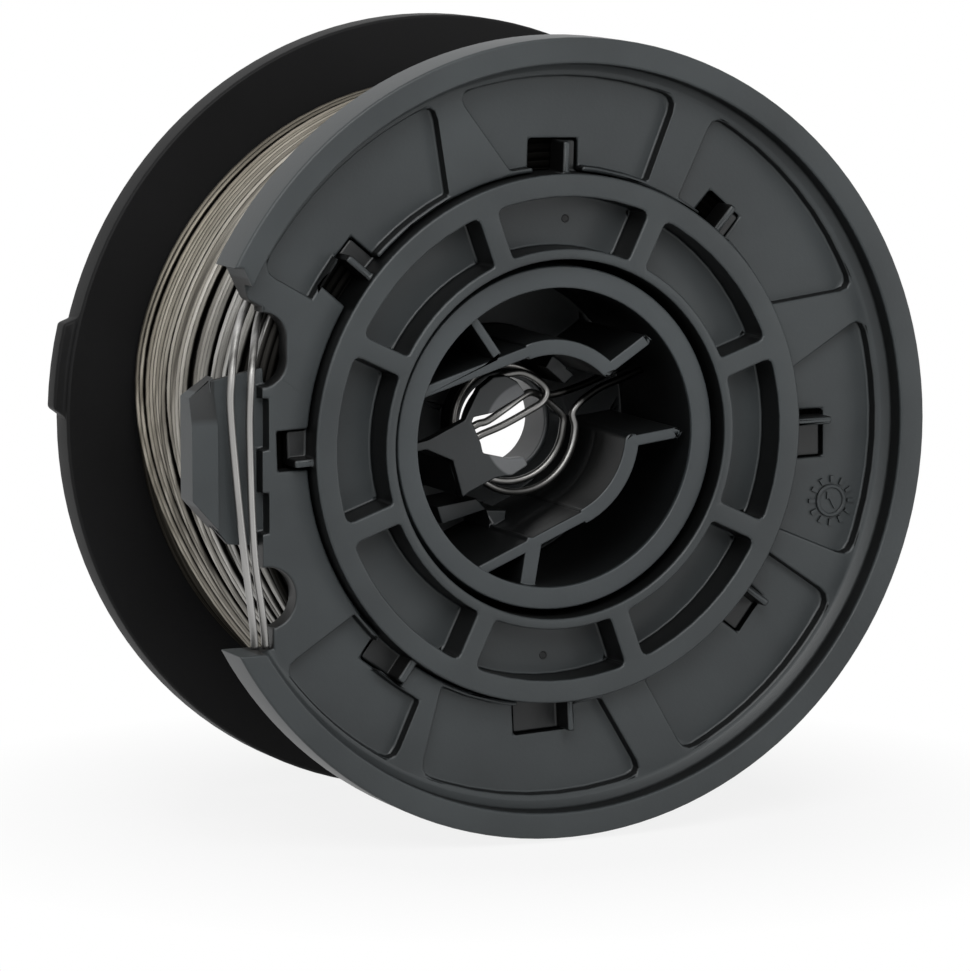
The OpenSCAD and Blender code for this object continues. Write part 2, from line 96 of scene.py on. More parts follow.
back = Vector((
    math.sin(AZIMUTH) * math.cos(ELEVATION),
    -math.cos(AZIMUTH) * math.cos(ELEVATION),
    math.sin(ELEVATION),
))
camera_data = bpy.data.cameras.new("catalogue_camera")
camera_data.sensor_width = SENSOR_WIDTH
camera_data.lens = SENSOR_WIDTH * FOCAL_PIXELS / IMAGE_HEIGHT
camera_data.clip_start, camera_data.clip_end = CLIP_NEAR, CLIP_FAR
camera = bpy.data.objects.new("catalogue_camera", camera_data)
camera.location = place(*(share * FLANGE_RADIUS for share in AIM_SHARES)) + back * CAMERA_DISTANCE
camera.rotation_mode = "QUATERNION"
camera.rotation_quaternion = (-back).to_track_quat("-Z", "Y")
bpy.context.collection.objects.link(camera)
bpy.context.scene.camera = camera
print("lens", round(camera_data.lens, 1), "mm, distance", round(CAMERA_DISTANCE, 3), "m")

# %% [markdown]
# The wire is wound between the two flanges, and its outer layer isn't quite level: the pack is a little
# fuller at the rear. A table of radii would do, but a straight slope from front to rear says the same in
# one line, and the wires' free ends can start from it too.

# %% Measures of the winding
WIRE = 1.0
DRUM_RADIUS = 34.75
PACK_THICKNESS = 8.85
PACK_SWELL = 0.9
LAYER_GAP = 0.3
PAIR_STEP = 1.25
FIRST_DEPTH = FLANGE_THICKNESS + LAYER_GAP + WIRE / 2
LAST_DEPTH = REEL_WIDTH - REAR_THICKNESS - LAYER_GAP - WIRE / 2


def layer_radius(depth):
    """Radius of the outer layer's centre line: the pack is a little fuller at the rear."""
    share = (depth - FIRST_DEPTH) / (LAST_DEPTH - FIRST_DEPTH)
    return DRUM_RADIUS + PACK_THICKNESS - WIRE / 2 + PACK_SWELL * share


print("outer layer from r", layer_radius(FIRST_DEPTH), "to", round(layer_radius(LAST_DEPTH), 2), "mm")

# %% [markdown]
# A free end of springy wire bends softly from one place to the next. A Bezier curve with handles would show
# that as well, but a few listed points are easier to read and to change, and a Catmull-Rom line runs
# through every one of them.

# %% A smooth line through chosen points


def smooth(points, steps):
    """A Catmull-Rom curve through the points, with that many steps between neighbours."""
    curve = []
    last = len(points) - 1
    for i in range(last):
        a, b, c, d = points[max(i - 1, 0)], points[i], points[i + 1], points[min(i + 2, last)]
        for k in range(steps):
            t = k / steps
            bend = (2 * a - 5 * b + 4 * c - d) * t**2 + (3 * b - a - 3 * c + d) * t**3
            curve.append(0.5 * (2 * b + (c - a) * t + bend))
    return curve + [points[last]]


def length_of(points):
    """Length of a line of points, in metres."""
    return sum((q - p).length for p, q in zip(points, points[1:]))


quarter = smooth([on_circle(DRUM_RADIUS, angle, 0) for angle in (0, 30, 60, 90)], 6)
print("a quarter turn on the drum, smoothed:", round(length_of(quarter) / MM, 1), "mm")

# %% [markdown]
# Each wire is a round tube. A curve with a round bevel is the quick way to one, but a mesh keeps a true
# box and takes its material in the same way as the mouldings do. So a ring of points is carried along the
# route without twist, and faces join each ring to the next. The turned forms further on use the same
# helpers for their rings.

# %% Sweep a tube along a route
FIRST_SIDE = Vector((0.3, 0.9, 0.3))
FREE_SIDES, LAYER_SIDES = 16, 8


def join_rings(shape, rings):
    """Four-sided faces between each ring of vertices and the next one."""
    for ring, following in zip(rings, rings[1:]):
        for k in range(len(ring)):
            n = (k + 1) % len(ring)
            shape.faces.new((ring[k], following[k], following[n], ring[n]))


def close_ends(shape, rings):
    """A flat face over the first ring and one over the last."""
    shape.faces.new(rings[0])
    shape.faces.new(rings[-1][::-1])


def finished(name, shape):
    """Turns a shape's faces outward and makes it an object of that name."""
    mesh = bpy.data.meshes.new(name)
    bmesh.ops.recalc_face_normals(shape, faces=shape.faces)
    shape.to_mesh(mesh)
    shape.free()
    made = bpy.data.objects.new(name, mesh)
    bpy.context.collection.objects.link(made)
    return made


def tube(name, route, radius, sides):
    """A closed mesh tube along a route of points, its sides carried along without twist."""
    shape = bmesh.new()
    side = None
    rings = []
    last = len(route) - 1
    turned = [2 * math.pi * k / sides for k in range(sides)]
    for i, point in enumerate(route):
        forward = (route[min(i + 1, last)] - route[max(i - 1, 0)]).normalized()
        if side is None:
            side = forward.cross(FIRST_SIDE).normalized()
        side = (side - forward * side.dot(forward)).normalized()
        up = forward.cross(side)
        spots = [point + radius * (math.cos(a) * side + math.sin(a) * up) for a in turned]
        rings.append([shape.verts.new(spot) for spot in spots])
    join_rings(shape, rings)
    close_ends(shape, rings)
    for face in shape.faces:
        face.smooth = len(face.verts) == 4
    return finished(name, shape)


print("sides of a free wire and of a wound one:", FREE_SIDES, LAYER_SIDES)

# %% [markdown]
# The two outer ends leave the wound layer at the notch, lie across the keeper tongue and stop on the
# notch's shelf. They could be simulated as springs, but they lie still, so a few points are enough, each
# given as x, depth and z. Each end starts a wire's thickness after the point where its winding ends.

# %% Outer ends
OUTER_STEPS = 6
# Angles at which the windings end, in degrees
LEAVE_A, LEAVE_B = 137, 150
SHELF_Z = -25.2
SHELF_CLEARANCE = 0.05
OUTER_A = [
    (-37.6, 7.8, 24.2), (-40.4, 7.8, 21), (-42.3, 7.5, 18.4), (-43.7, 6.2, 15.8), (-44.7, 5, 13),
    (-45.3, 4.3, 10), (-45.5, 4.2, 6), (-44.8, 4.2, -2.5), (-43.9, 4.2, -11), (-42.6, 4.4, -21),
]
OUTER_B = [
    (-38.9, 9, 19), (-40, 8.2, 17), (-40.9, 7, 15.2), (-41.7, 5.6, 13.4), (-42.3, 4.7, 11.6),
    (-42.7, 4.2, 9), (-42.9, 4.2, 4.5), (-42.8, 4.2, -2), (-42.6, 4.2, -8), (-42.2, 4.2, -14),
    (-41.2, 4.4, -20.5),
]
# Where each end meets the shelf, as x and depth
SEAT_A, SEAT_B = (-42, 5), (-40.5, 5)


def free_wire(name, route, node):
    """A round wire along the route that stands for a CAD wire end and hides that end."""
    wire = tube(name, route, WIRE / 2 * MM, FREE_SIDES)
    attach(wire, "root")
    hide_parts(node)
    return wire


def leave_point(angle, depth):
    """Where a winding ends: one wire's thickness past the given angle, along the turn."""
    a = math.radians(angle)
    return on_circle(layer_radius(depth), angle, depth) + Vector((-math.sin(a), 0, math.cos(a))) * WIRE * MM


def outer_route(angle, depth, points, seat):
    """The route of an outer end, from its winding to the shelf."""
    landing = place(seat[0], seat[1], SHELF_Z + SHELF_CLEARANCE)
    return smooth([leave_point(angle, depth), *(place(*p) for p in points), landing], OUTER_STEPS)


outer_a = free_wire("outer_wire_a", outer_route(LEAVE_A, FIRST_DEPTH, OUTER_A, SEAT_A), "outer_end_a")
outer_b = free_wire(
    "outer_wire_b", outer_route(LEAVE_B, FIRST_DEPTH + PAIR_STEP, OUTER_B, SEAT_B), "outer_end_b"
)

# %% [markdown]
# The inner ends are tucked into a bracket in front of the centre boss. They cross the boss's mouth, wind
# once round it, one each way, and leave the hub through the mouth of the keyhole ribs. The crossing is
# given point by point as before, but the winding is a spiral, so a loop works its points out.

# %% Inner ends
BORE_RADIUS = 19.7
FOOT_A, FOOT_B = Vector((-8.2, 1.5)), Vector((-6.95, -1.3))
FOOT_DEPTH = 12.8
FOOT_SHARES = (0.25, 0.75)
FOOT_CLEARANCE = 0.02
CROSS_A = [(-5.6, 12.9, 1.5), (-3, 13.2, 2.9), (0.3, 13.9, 4.6), (1.9, 14.7, 4.6), (3.9, 15.6, 3.6)]
CROSS_B = [(-3.4, 12.9, 0.8), (0.4, 13, 2.5), (2.5, 13.2, 3.6), (3.2, 13.5, 5), (2.2, 13.8, 6.3)]
# Each winding in the hub: its angles, depths and radii at start and end
COIL_A = ((10, -335), (16.6, 21.4), (7, 7.8))
COIL_B = ((88, 372), (14.3, 16.4), (7.4, 8.7))
COIL_STEP = 15
WALL_CLEARANCE = 0.05
EXIT_RADII = (12.5, 16.5, BORE_RADIUS - WIRE - WALL_CLEARANCE, BORE_RADIUS - WALL_CLEARANCE)
EXIT_ANGLE = 20
INNER_STEPS = 4


def inner_route(share, crossing, coil):
    """The route of an inner end, from the bracket to the hub's wall."""
    foot = FOOT_A + (FOOT_B - FOOT_A) * share
    edge = (FOOT_A - FOOT_B).normalized()
    out = Vector((edge.y, -edge.x))
    points = [place(p.x, FOOT_DEPTH, p.y) for p in (foot + out * FOOT_CLEARANCE, foot + out * WIRE)]
    points += [place(*p) for p in crossing]
    (a0, a1), (d0, d1), (r0, r1) = coil
    steps = round(abs(a1 - a0) / COIL_STEP)
    for i in range(steps + 1):
        t = i / steps
        widened = 1 - (1 - t) ** 3
        points.append(on_circle(r0 + (r1 - r0) * widened, a0 + (a1 - a0) * t, d0 + (d1 - d0) * t))
    points += [on_circle(r, EXIT_ANGLE, d1) for r in EXIT_RADII]
    return smooth(points, INNER_STEPS)


inner_a = free_wire("inner_wire_a", inner_route(FOOT_SHARES[0], CROSS_A, COIL_A), "inner_end_a")
inner_b = free_wire("inner_wire_b", inner_route(FOOT_SHARES[1], CROSS_B, COIL_B), "inner_end_b")

# %% [markdown]
# A machine winds the two wires as a pair, and no layer is perfect: some pairs lie tight and others leave
# a dark gap. Random shifts of single turns would make them cross, which turns of one layer never do. So
# their places are worked out as gaps between pairs, and seeded waves make each gap grow and shrink round
# the drum. On the lower left, where the wire was drawn tight, the gaps change and some pairs slip.

# %% Spacing of the turns
TURNS = 12
PAIR_DISTANCE = 1.04
# Share of the free room after each pair, from the rear flange to the front one
GAPS = [1.7, 0.1, 0.1, 0.5, 0.1, 0.1, 1.2, 0.1, 0.9, 0.2, 1.3, 0.8, 0.4]
# The same where the wire was drawn tight, and how far each pair slips under its neighbour there
GAPS_TIGHT = [0.8, 0.1, 0.1, 1.2, 0.1, 0.1, 1.4, 0.1, 0.1, 1.0, 0.1, 0.1, 0.3]
SLIPS = [0, 0, 0.9, 0, 0.9, 0, 0, 0.9, 0, 0.9, 0, 0.9, 0]
# Share of the free room that is gone there
SQUEEZE = 0.9
# The middle of the tight stretch and how far it reaches either way, in degrees
PULLED_ANGLE, PULLED_REACH = 218, 55
# Strength and place of each gap's wave, and how far each turn rides above the layer
spacing = random.Random(7)
WAVES = [(spacing.uniform(0.3, 0.7), spacing.uniform(0, 360)) for _ in GAPS]
LIFTS = [spacing.uniform(-0.08, 0.1) for _ in range(2 * TURNS + 2)]


def pulled(angle, reach):
    """1 on the lower left, where the wire was drawn tight, falling to 0 within that many degrees."""
    off = min(abs((angle - PULLED_ANGLE + 180) % 360 - 180), reach)
    return math.cos(math.radians(off * 90 / reach)) ** 2


def turn_depths(angle):
    """Depth of each pair of turns at an angle round the drum, from the rear to the front."""
    tight = pulled(angle, PULLED_REACH)
    waves = [math.exp(s * math.sin(math.radians(angle + p))) for s, p in WAVES]
    gaps = [(g * (1 - tight) + h * tight) * w for g, h, w in zip(GAPS, GAPS_TIGHT, waves)]
    full = LAST_DEPTH - FIRST_DEPTH - PAIR_STEP
    slack = (full - TURNS * 2 * PAIR_DISTANCE) * (1 - SQUEEZE * tight)
    widths = [2 * PAIR_DISTANCE * (1 - slip * tight) for slip in SLIPS]
    slack += TURNS * 2 * PAIR_DISTANCE - sum(widths[:-1])
    depths = [FIRST_DEPTH + slack * gaps[-1] / sum(gaps)]
    for g, width in zip(reversed(gaps[:-1]), reversed(widths[:-1])):
        depths.append(depths[-1] + width + slack * g / sum(gaps))
    return depths[::-1]


print("pairs at the left side:", [round(d, 1) for d in turn_depths(180)])

# %% [markdown]
# A layer is one long wire, so each of the two is one route: it starts out of sight behind the front
# flange, moves on by one place a turn, and slows into the place where it leaves for the notch. Separate
# rings would be simpler, but they wouldn't climb from turn to turn as real wire does.

# %% Outer layer
RINGS_PER_TURN = 96
# Rings before the first turn, out of sight, and rings over which the last turn settles
HIDDEN_RINGS, ENDING_RINGS = 48, 24
SAG_REACH = 60


def sag(angle):
    """How much lower the layer lies where the wire was drawn tight."""
    return pulled(angle, SAG_REACH)


def between(row, turn, t):
    """A value of a row that slides from one turn's to the next one's."""
    return row[turn] * (1 - t) + row[turn + 1] * t


def layer_route(leave, wire):
    """The outer layer of one wire, from behind the front flange to where it leaves for the notch."""
    points = []
    total = TURNS * RINGS_PER_TURN
    for i in range(-HIDDEN_RINGS, total + 1):
        turn = min(max(i, 0) // RINGS_PER_TURN, TURNS - 1)
        t = max(i, 0) / RINGS_PER_TURN - turn
        angle = leave - 360 * TURNS + 360 * i / RINGS_PER_TURN
        ending = max(0, 1 - (total - i) / ENDING_RINGS)
        depth = between(turn_depths(angle), turn, t) * (1 - ending) + FIRST_DEPTH * ending
        depth += wire * (PAIR_DISTANCE + (PAIR_STEP - PAIR_DISTANCE) * ending)
        slip = between(SLIPS, turn, t) * pulled(angle, PULLED_REACH)
        lift = between(LIFTS[wire::2], turn, t) * (1 - ending)
        points.append(on_circle(layer_radius(depth) - sag(angle) - slip + lift, angle, depth))
    return points


layer_a = tube("outer_layer_a", layer_route(LEAVE_A, 0), WIRE / 2 * MM, LAYER_SIDES)
layer_b = tube("outer_layer_b", layer_route(LEAVE_B, 1), WIRE / 2 * MM, LAYER_SIDES)
for layer, node in ((layer_a, "winding_a"), (layer_b, "winding_b")):
    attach(layer, "root")
    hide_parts(node)
    print(layer.name, len(layer.data.polygons), "faces")

# %% [markdown]
# Under the outer layer lie the inner ones. Only their crests show, in the gaps. They could be wound turn
# by turn as well, but hundreds of hidden turns are wasted, so one turned form with a ridged outline is
# enough. Its outline has a small round crest for each turn, on the faces at its ends too.

# %% Outline of the inner layers
CREST_STEP = 1.06
CREST_ARC = 5
FACE_CREST, TOP_CREST = 0.4, 0.42
DRUM_CLEARANCE = 0.2


def crests(start, end, height):
    """Points of a row of round crests from start to end, each as (radius, depth)."""
    span = math.dist(start, end)
    count = round(span / CREST_STEP)
    along = [(e - s) / span for s, e in zip(start, end)]
    out = (along[1], -along[0])
    row = []
    for i in range(count):
        for k in range(CREST_ARC):
            a = math.pi * (k + 0.5) / CREST_ARC
            far = span * (i + 0.5 - 0.5 * math.cos(a)) / count
            rise = height * (math.sin(a) - 1)
            row.append(tuple(s + u * far + v * rise for s, u, v in zip(start, along, out)))
    return row


def pack_outline():
    """The inner layers' outline: up the front face, along the crests and down the rear face."""
    front, rear = FLANGE_THICKNESS + LAYER_GAP, REEL_WIDTH - REAR_THICKNESS - LAYER_GAP
    foot = DRUM_RADIUS + DRUM_CLEARANCE
    top_front, top_rear = layer_radius(front) - WIRE / 2, layer_radius(rear) - WIRE / 2
    front_face = crests((foot, front), (top_front, front), FACE_CREST)
    top = crests((top_front, front), (top_rear, rear), TOP_CREST)
    rear_face = crests((top_rear, rear), (foot, rear), FACE_CREST)
    return [(foot, front), *front_face, *top, *rear_face, (foot, rear)]


print("outline of the inner layers:", len(pack_outline()), "points")

# %% [markdown]
# The outline is turned round the axis like a piece on a lathe. The screw modifier does that for a true
# round, but this pack also sinks where the outer wire was drawn tight, so the rings are set out one by
# one, each lowered by the same amount as the wire above it.

# %% Inner layers
PACK_SEGMENTS = 180
# Up to this radius the pack lies firmly on the drum and doesn't sink
FIRM_RADIUS = DRUM_RADIUS + 1


def turned_form(name, outline, segments, drop):
    """A closed form turned round the reel's axis; drop lowers its radius by angle."""
    shape = bmesh.new()
    rings = []
    for i in range(segments):
        angle = 360 * i / segments
        sunk = [(r - (drop(angle) if r > FIRM_RADIUS else 0), depth) for r, depth in outline]
        rings.append([shape.verts.new(on_circle(r, angle, depth)) for r, depth in sunk])
    join_rings(shape, rings + rings[:1])
    return finished(name, shape)


inner_layers = turned_form("inner_layers", pack_outline(), PACK_SEGMENTS, sag)
for face in inner_layers.data.polygons:
    face.use_smooth = True
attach(inner_layers, "root")
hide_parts("winding_core")
print("inner layers:", len(inner_layers.data.polygons), "faces")

# %% [markdown]
# The mould leaves small marks. They could be a bump in the material, but a bump has no edge that catches
# light from the side, so they are raised as shapes. Two helpers are enough: a button turned about its own
# centre, and a low bar with any outline. Both sink a little into the face that they stand on.

# %% Raised marks
BUTTON_SEGMENTS = 40
SUNK = 0.1


def button(shape, centre, depth, outline):
    """A turned mark on a face that looks forward; outline gives radius and height above the face."""
    rings = []
    turned = [2 * math.pi * k / BUTTON_SEGMENTS for k in range(BUTTON_SEGMENTS)]
    for radius, height in outline:
        spots = [(centre[0] + radius * math.cos(a), centre[1] + radius * math.sin(a)) for a in turned]
        rings.append([shape.verts.new(place(x, depth - height, z)) for x, z in spots])
    join_rings(shape, rings)
    close_ends(shape, rings)


def bar(shape, centre, depth, height, outline, turn):
    """A low bar with the given outline, turned by an angle in degrees about the centre."""
    c, s = math.cos(math.radians(turn)), math.sin(math.radians(turn))
    spots = [(centre[0] + u * c - v * s, centre[1] + u * s + v * c) for u, v in outline]
    low = [shape.verts.new(place(x, depth + SUNK, z)) for x, z in spots]
    high = [shape.verts.new(place(x, depth - height, z)) for x, z in spots]
    close_ends(shape, [low, high])
    join_rings(shape, [low, high])


def moulded_mark(name, shape):
    """Finishes a raised mark that belongs to a moulding."""
    made = finished(name, shape)
    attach(made, "root")
    print(name, "has", len(made.data.polygons), "faces")
    return made


print("marks sink", SUNK, "mm into the face that they stand on")

# %% [markdown]
# A date dial is a round insert of the mould that says when a piece was made. It leaves a ring, ticks
# round it and a pointer, and here it carries no figures. It could be cut out of the panel with booleans,
# but raised shapes are simpler and leave the panel's mesh alone: the ring is a button, the rest are bars.

# %% Date dial
PANEL_DEPTH = 5.7
DIAL_PLACE, DIAL_RADIUS, DIAL_TICKS, DIAL_TURN = (41.5, -10.9), 2.2, 12, 118
DIAL_FLOOR, DIAL_CENTRE = 0.12, 0.05
# Steps of the ring, as distance inside its edge and height
DIAL_STEPS = [(0, -SUNK), (0, 0.3), (0.1, 0.4), (0.4, 0.4), (0.5, 0.3), (0.5, DIAL_FLOOR)]
TICK_HEIGHT, POINTER_HEIGHT, POINTER_BASE = 0.35, 0.3, 0.1
TICK_NEAR, TICK_FAR = DIAL_RADIUS + 0.25, DIAL_RADIUS + 1.15
TICK = [(TICK_NEAR, -0.2), (TICK_FAR, -0.28), (TICK_FAR, 0.28), (TICK_NEAR, 0.2)]
POINTER = [(-1.2, -0.15), (0.5, -0.15), (0.5, -0.5), (1.4, 0), (0.5, 0.5), (0.5, 0.15), (-1.2, 0.15)]

dial_shape = bmesh.new()
dial_outline = [(DIAL_RADIUS - inside, height) for inside, height in DIAL_STEPS]
button(dial_shape, DIAL_PLACE, PANEL_DEPTH, [*dial_outline, (DIAL_CENTRE, DIAL_FLOOR)])
for k in range(DIAL_TICKS):
    bar(dial_shape, DIAL_PLACE, PANEL_DEPTH, TICK_HEIGHT, TICK, DIAL_TURN + 360 * k / DIAL_TICKS)
bar(dial_shape, DIAL_PLACE, PANEL_DEPTH - POINTER_BASE, POINTER_HEIGHT, POINTER, DIAL_TURN)
dial = moulded_mark("date_dial", dial_shape)

# %% [markdown]
# Ejector pins push the drum out of the mould and leave a faint round mark in two of its pockets. A dark
# spot in the material would do from afar, but the real mark has a raised edge, so each is a button with a
# low ring and a shallow dish.

# %% Ejector marks
POCKET_DEPTH = 6.9
EJECTOR_PLACES = [(2.8, 28.4), (-0.3, -29.2)]
EJECTOR_OUTLINE = [(0.55, -SUNK), (0.55, 0.06), (0.5, 0.1), (0.4, 0.1), (0.34, 0.04), (0.05, 0.04)]

marks_shape = bmesh.new()
for spot in EJECTOR_PLACES:
    button(marks_shape, spot, POCKET_DEPTH, EJECTOR_OUTLINE)
marks = moulded_mark("ejector_marks", marks_shape)

# %% [markdown]
# Every edge of a moulding has a small radius, and on dark plastic that radius is what shows, because it
# catches a thin line of light. A bevel modifier rounds all sharp edges by the same amount, which is too
# much for the thin keeper tongue. Its edges could be marked by hand, but the solids come fresh from CAD
# each time, so a small group of geometry nodes finds them by their place and gives them a smaller share.

# %% Less rounding on the keeper tongue
SHARP_FROM = 32
TONGUE_SHARE = 0.3
TONGUE_LOW, TONGUE_HIGH = place(-51.5, 4.4, -12.6), place(-42.3, 9.4, 11.6)


def give(tree, made, values):
    """Sets a node's inputs in order, each from a value or from another node's socket."""
    for entry, value in zip(made.inputs, values):
        if isinstance(value, bpy.types.NodeSocket):
            tree.links.new(value, entry)
        else:
            entry.default_value = value


def worked_out(tree, operation, *values):
    """Result of a Math node; each value is a number or another node's socket."""
    made = tree.nodes.new("ShaderNodeMath")
    made.operation = operation
    give(tree, made, values)
    return made.outputs[0]


def mapped(tree, value, start, end, low=0, high=1):
    """Goes from low to high while the value goes from start to end, and stays there."""
    made = tree.nodes.new("ShaderNodeMapRange")
    give(tree, made, (value, start, end, low, high))
    return made.outputs["Result"]


def tongue_choice():
    """Node group that gives each sharp edge its share of the rounding: less on the keeper tongue."""
    group = bpy.data.node_groups.new("tongue_choice", "GeometryNodeTree")
    group.interface.new_socket("Geometry", in_out="INPUT", socket_type="NodeSocketGeometry")
    group.interface.new_socket("Geometry", in_out="OUTPUT", socket_type="NodeSocketGeometry")
    start, end = group.nodes.new("NodeGroupInput"), group.nodes.new("NodeGroupOutput")
    bend = group.nodes.new("GeometryNodeInputMeshEdgeAngle")
    sharp = worked_out(group, "GREATER_THAN", bend.outputs["Unsigned Angle"], math.radians(SHARP_FROM))
    where = group.nodes.new("GeometryNodeInputPosition")
    axes = group.nodes.new("ShaderNodeSeparateXYZ")
    group.links.new(where.outputs[0], axes.inputs[0])
    inside = 1.0
    for low, high, along in zip(TONGUE_LOW, TONGUE_HIGH, axes.outputs):
        near = worked_out(group, "COMPARE", along, (low + high) / 2, (high - low) / 2)
        inside = worked_out(group, "MULTIPLY", inside, near)
    weight = worked_out(group, "MULTIPLY", sharp, mapped(group, inside, 0, 1, 1, TONGUE_SHARE))
    keep = group.nodes.new("GeometryNodeStoreNamedAttribute")
    keep.data_type, keep.domain = "FLOAT", "EDGE"
    keep.inputs["Name"].default_value = "bevel_weight_edge"
    group.links.new(start.outputs[0], keep.inputs["Geometry"])
    group.links.new(weight, keep.inputs["Value"])
    group.links.new(keep.outputs["Geometry"], end.inputs[0])
    return group


tongue_edges = tongue_choice()
print("edges within the tongue keep", TONGUE_SHARE, "of the rounding")

# %% [markdown]
# The solids arrive as loose triangles with sharp edges. Their meshes must stay as they are, so modifiers
# do the work: one welds the triangles, one rounds the edges, and weighted normals keep the large faces
# flat, so that only the rounding shades softly.

# %% Rounded edges on the mouldings
EDGE_RADII = {"front_flange": 0.35, "drum": 0.35, "hub_core": 0.25, "rear_flange": 0.4}
WELD_DISTANCE = 2e-6


def round_edges(piece, radius, choice=None):
    """Modifiers that round a CAD solid's edges by that radius in millimetres."""
    weld = piece.modifiers.new("weld", "WELD")
    weld.merge_threshold = WELD_DISTANCE
    if choice:
        piece.modifiers.new("choice", "NODES").node_group = choice
    edges = piece.modifiers.new("edges", "BEVEL")
    edges.width = radius * MM
    edges.segments = 2
    edges.limit_method = "WEIGHT" if choice else "ANGLE"
    edges.angle_limit = math.radians(SHARP_FROM)
    edges.use_clamp_overlap = False
    shading = piece.modifiers.new("shading", "WEIGHTED_NORMAL")
    shading.keep_sharp = True


for name, radius in EDGE_RADII.items():
    round_edges(nodes[name], radius, tongue_edges if name == "front_flange" else None)
    nodes[name].data.shade_smooth()
print("edges rounded on", ", ".join(EDGE_RADII))

# %% [markdown]
# The light and shade painted on this reel depend on where it is: how deep behind the rim, how far from the
# axis, on a face or on a side wall. Painted textures would say that for one mesh only. Measured in nodes,
# from object coordinates, it holds for every moulding, so these helpers give the measures and darken a
# colour by them.

# %% Measures for the painted light and shade
DEPTH_BLEND = 0.3


def node_of(tree, kind, **values):
    """A shader node with some of its input sockets set."""
    made = tree.nodes.new(kind)
    for socket, value in values.items():
        made.inputs[socket.replace("_", " ")].default_value = value
    return made


def vector_node(tree, operation, *values):
    """A Vector Math node; each value is a vector or another node's socket."""
    made = tree.nodes.new("ShaderNodeVectorMath")
    made.operation = operation
    give(tree, made, values)
    return made


def along_axis(tree, vector, axis):
    """One part of a vector: X, Y or Z."""
    parts = tree.nodes.new("ShaderNodeSeparateXYZ")
    tree.links.new(vector, parts.inputs[0])
    return parts.outputs[axis]


def darkened(tree, colour, measure, start, end, keep):
    """Multiplies a colour by a share that falls from 1 to keep while the measure goes from start to end."""
    scaled = vector_node(tree, "SCALE", colour)
    tree.links.new(mapped(tree, measure, start, end, 1, keep), scaled.inputs["Scale"])
    return scaled.outputs[0]


def axis_distance(tree, where):
    """The distance from the reel's axis, in metres."""
    across = vector_node(tree, "MULTIPLY", where.outputs["Object"], (1, 0, 1))
    return vector_node(tree, "LENGTH", across.outputs[0]).outputs["Value"]


def deeper_than(tree, where, depth):
    """1 deeper than the given depth behind the front rim and 0 before it."""
    height = along_axis(tree, where.outputs["Object"], "Y")
    return mapped(tree, height, level(depth - DEPTH_BLEND), level(depth))


def frontness(tree, where):
    """1 on faces that look along the axis and 0 on side walls."""
    return worked_out(tree, "ABSOLUTE", along_axis(tree, where.outputs["Normal"], "Y"))


print("a depth's edge is blended over", DEPTH_BLEND, "mm")

# %% [markdown]
# Light hardly reaches the pockets and the deep side walls, so their shade is painted into the colour: the
# walls are made almost black, and so are the blocks behind the windows; the sloping face at the tongue's
# tip and the hub grow darker too. The wall of the boss's bore gets a paler colour, a painted highlight.
# Each of these is a function that takes a colour and gives it back changed, so that a moulding can have any
# of them.

# %% Painted shade and highlight on the plastic
# Frontness of a side wall where the painted shade is full, and of a slope where it ends
WALL, SLOPE = 0.35, 0.85
# Frontness from which the tongue's slope begins to be shaded, and where it is fully so
RAMP_FROM, RAMP_TO = 0.85, 0.93
# How softly each painted shade ends, in millimetres
BLOCK_BLEND, WALL_SHADE_BLEND, RAMP_BLEND = 0.2, 0.3, 0.1
# Distances outside the bore's radius where its painted highlight is full and where it ends, in millimetres
BORE_LIGHT_FULL, BORE_LIGHT_END = 0.1, 0.4


def deep_shade(tree, where, colour, start, end, keep):
    """Painted shade: darker with depth behind the front rim, from start to end."""
    depth = along_axis(tree, where.outputs["Object"], "Y")
    return darkened(tree, colour, depth, level(start), level(end), keep)


def painted_block_shade(tree, where, colour, keep, depth, radius):
    """Painted shade: darkens what lies deeper than the depth and farther from the axis than the radius."""
    beyond = mapped(tree, axis_distance(tree, where), (radius - BLOCK_BLEND) * MM, radius * MM)
    shaded = worked_out(tree, "MULTIPLY", beyond, deeper_than(tree, where, depth))
    return darkened(tree, colour, shaded, 0, 1, keep)


def painted_wall_shade(tree, where, colour, keep, depth, radius):
    """Painted shade: darkens side walls that lie deeper than the depth and nearer to the axis than the
    radius.
    """
    wall = mapped(tree, frontness(tree, where), SLOPE, WALL)
    within = mapped(tree, axis_distance(tree, where), (radius + WALL_SHADE_BLEND) * MM, radius * MM)
    painted_dark = worked_out(tree, "MULTIPLY", wall, within)
    painted_dark = worked_out(tree, "MULTIPLY", painted_dark, deeper_than(tree, where, depth))
    return darkened(tree, colour, painted_dark, 0, 1, keep)


def shaded_ramp(tree, where, colour, keep, depth, x):
    """Darkens the sloping face at the tongue's tip, outside x, where hardly any light comes."""
    across = along_axis(tree, where.outputs["Object"], "X")
    outer = mapped(tree, across, (x + RAMP_BLEND) * MM, (x - RAMP_BLEND) * MM)
    flat = mapped(tree, frontness(tree, where), RAMP_FROM, RAMP_TO)
    shaded = worked_out(tree, "MULTIPLY", outer, flat)
    shaded = worked_out(tree, "MULTIPLY", shaded, deeper_than(tree, where, depth))
    return darkened(tree, colour, shaded, 0, 1, keep)


def painted_bore_light(tree, where, colour, radius, bore_highlight):
    """Painted highlight: a paler colour on the wall of a bore of that radius."""
    mixed = tree.nodes.new("ShaderNodeMix")
    mixed.data_type = "RGBA"
    mixed.inputs["B"].default_value = (*bore_highlight, 1)
    edge = mapped(tree, axis_distance(tree, where), (radius + BORE_LIGHT_END) * MM, (radius + BORE_LIGHT_FULL) * MM)
    tree.links.new(edge, mixed.inputs["Factor"])
    tree.links.new(colour, mixed.inputs["A"])
    return mixed.outputs["Result"]


print("side walls are grimed below frontness", WALL)

